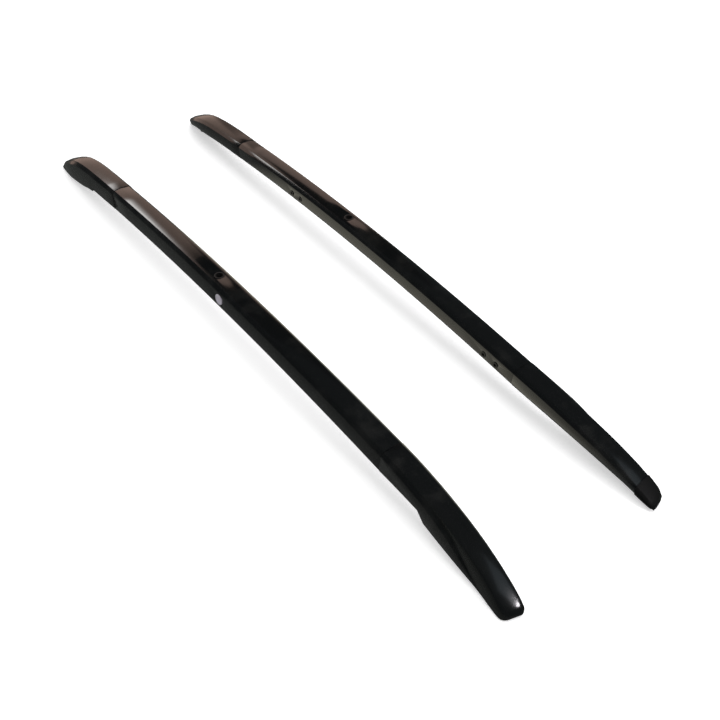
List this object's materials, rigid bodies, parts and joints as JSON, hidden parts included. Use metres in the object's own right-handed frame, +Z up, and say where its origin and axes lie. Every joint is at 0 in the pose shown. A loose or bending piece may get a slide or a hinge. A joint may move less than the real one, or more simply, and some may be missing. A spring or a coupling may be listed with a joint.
{
  "type": "pair of roof rails",
  "caption": "Left and right arched vehicle roof rails: extruded beams with tapered end covers, gasketed feet for roof bolts and threaded inserts for crossbars",
  "frame": {"origin": "centre of the pair's bounding box, on the floor that it stands on", "axes": "+X runs along the rails to the car's front, +Y to the car's left, +Z up; the rails mirror each other in Y = 0"},
  "size_m": [1.7728, 0.4372, 0.1219],
  "materials": {
    "gloss_black": "gloss black powder coat on aluminium",
    "cover_black": "gloss black painted moulding",
    "cast_grey": "dark coated casting",
    "rubber": "black rubber",
    "sleeve_black": "satin black moulding",
    "insert_steel": "zinc plated steel",
    "screw_steel": "black zinc plated steel",
    "nylon": "pale nylon",
    "boot_black": "matte black soft moulding"
  },
  "bodies": {
    "root": {"right_rail_beam": "gloss_black", "right_front_cover": "cover_black", "right_rear_cover": "cover_black", "right_front_foot": "cast_grey", "right_rear_foot": "cast_grey", "right_front_gasket": "rubber", "right_rear_gasket": "rubber", "right_centre_sleeve": "sleeve_black", "right_crossbar_inserts": "insert_steel", "right_side_plug": "nylon", "right_foot_screws": "screw_steel", "left_rail_beam": "gloss_black", "left_front_cover": "cover_black", "left_rear_cover": "cover_black", "left_front_foot": "cast_grey", "left_rear_foot": "cast_grey", "left_front_gasket": "rubber", "left_rear_gasket": "rubber", "left_centre_sleeve": "sleeve_black", "left_crossbar_inserts": "insert_steel", "left_side_plug": "nylon", "left_foot_screws": "screw_steel", "left_tip_boot": "boot_black"}
  },
  "joints": []
}
